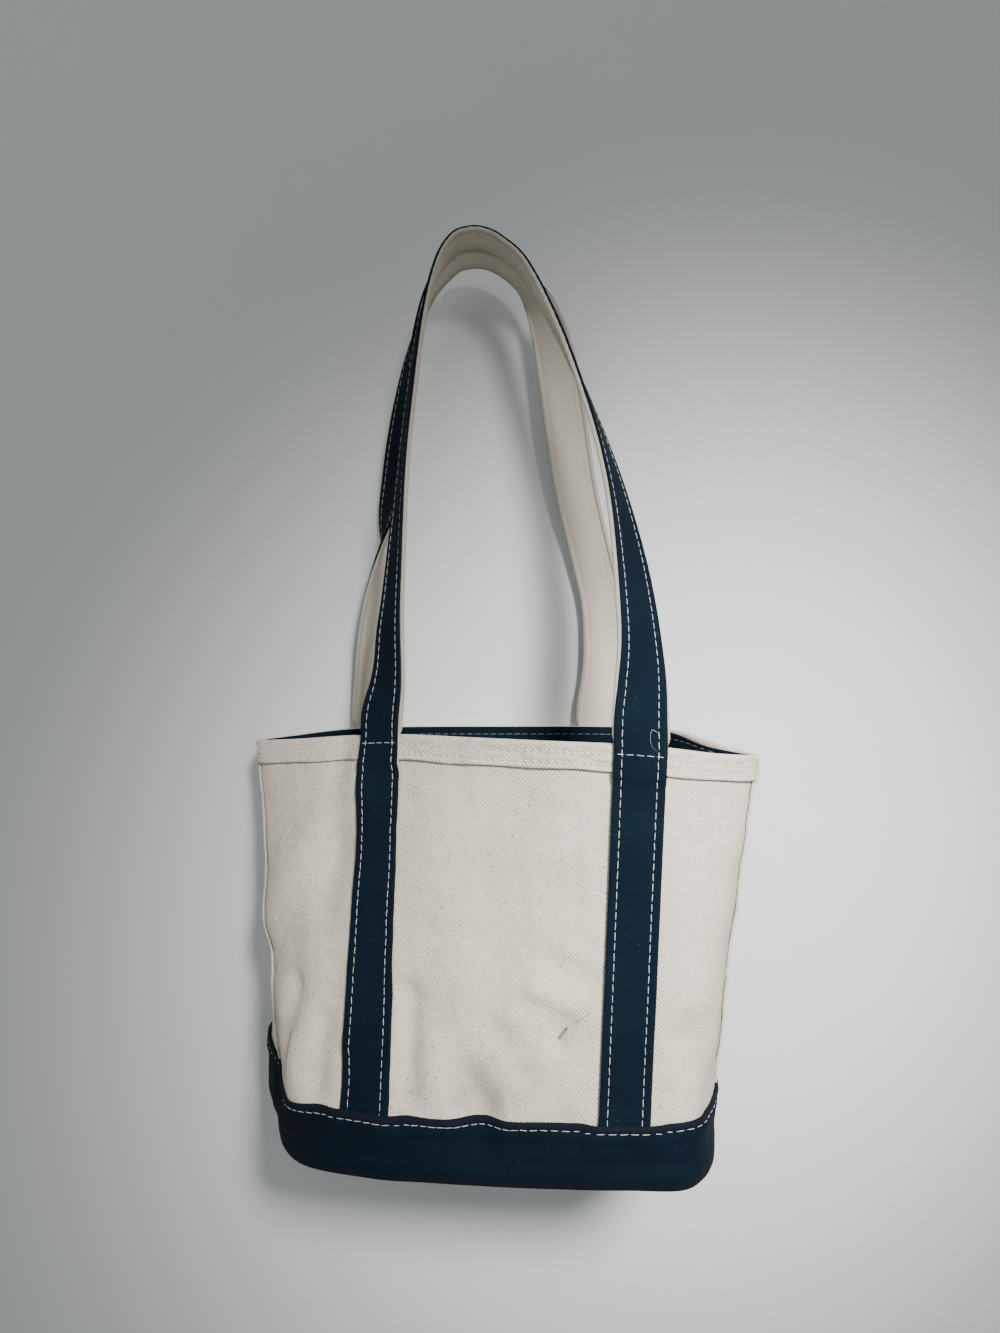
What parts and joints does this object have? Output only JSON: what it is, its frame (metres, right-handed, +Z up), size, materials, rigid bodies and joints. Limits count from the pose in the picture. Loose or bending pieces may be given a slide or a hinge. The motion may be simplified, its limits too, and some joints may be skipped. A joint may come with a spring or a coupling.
{
  "type": "canvas tote bag",
  "caption": "Open-topped natural canvas tote with a dark contrast base and two long lined shoulder straps, hanging by its straps with soft folds in its sides.",
  "frame": {"origin": "seat where a hook bears: middle of the flat underside of the front handle's lining, at the top of its loop", "axes": "+Z up; the front panel faces -Y; the bag's width runs along X, with +X to the right of someone facing the front"},
  "size_m": [0.2785, 0.1637, 0.5063],
  "materials": {
    "natural_canvas": "undyed heavy twill canvas, matte, lightly soiled",
    "navy_canvas": "dark navy canvas, matte, faded along folds",
    "strap_lining": "undyed ribbed webbing, matte",
    "white_thread": "white topstitching thread, slight sheen",
    "natural_thread": "undyed topstitching thread"
  },
  "bodies": {
    "bag": {"back_panel": "natural_canvas", "back_strap_left_lining": "strap_lining", "back_strap_left_outer": "navy_canvas", "back_strap_left_stitching": "white_thread", "back_strap_right_lining": "strap_lining", "back_strap_right_outer": "navy_canvas", "back_strap_right_stitching": "white_thread", "base_cover": "navy_canvas", "base_stitching_back": "white_thread", "base_stitching_front": "white_thread", "bottom_panel": "natural_canvas", "front_panel": "natural_canvas", "front_strap_left_lining": "strap_lining", "front_strap_left_outer": "navy_canvas", "front_strap_left_stitching": "white_thread", "front_strap_right_lining": "strap_lining", "front_strap_right_outer": "navy_canvas", "front_strap_right_stitching": "white_thread", "hem_stitching_back_lower_a": "natural_thread", "hem_stitching_back_lower_b": "natural_thread", "hem_stitching_back_lower_c": "natural_thread", "hem_stitching_back_upper_a": "natural_thread", "hem_stitching_back_upper_b": "natural_thread", "hem_stitching_back_upper_c": "natural_thread", "hem_stitching_front_lower_a": "natural_thread", "hem_stitching_front_lower_b": "natural_thread", "hem_stitching_front_lower_c": "natural_thread", "hem_stitching_front_upper_a": "natural_thread", "hem_stitching_front_upper_b": "natural_thread", "hem_stitching_front_upper_c": "natural_thread", "rim_facing_back": "navy_canvas", "rim_facing_front": "navy_canvas", "rim_facing_stitching_back": "white_thread", "rim_facing_stitching_front": "white_thread", "rim_hem_back": "natural_canvas", "rim_hem_front": "natural_canvas", "side_seam_left": "natural_canvas", "side_seam_right": "natural_canvas"},
    "front_handle": {"front_handle_lining": "strap_lining", "front_handle_outer": "navy_canvas", "front_handle_stitching_far": "white_thread", "front_handle_stitching_near": "white_thread"},
    "back_handle": {"back_handle_lining": "strap_lining", "back_handle_outer": "navy_canvas", "back_handle_stitching_far": "white_thread", "back_handle_stitching_near": "white_thread"}
  },
  "joints": [
    {"name": "front_handle_fold", "type": "hinge", "parent": "bag", "child": "front_handle", "pos_m": [-0.05238, -0.01782, -0.276], "axis": [0.8636, -0.5041, 0], "range_deg": [0, 145]},
    {"name": "back_handle_fold", "type": "hinge", "parent": "bag", "child": "back_handle", "pos_m": [-0.06512, 0.0565, -0.276], "axis": [-0.9998, 0.0217, 0], "range_deg": [0, 145]}
  ]
}
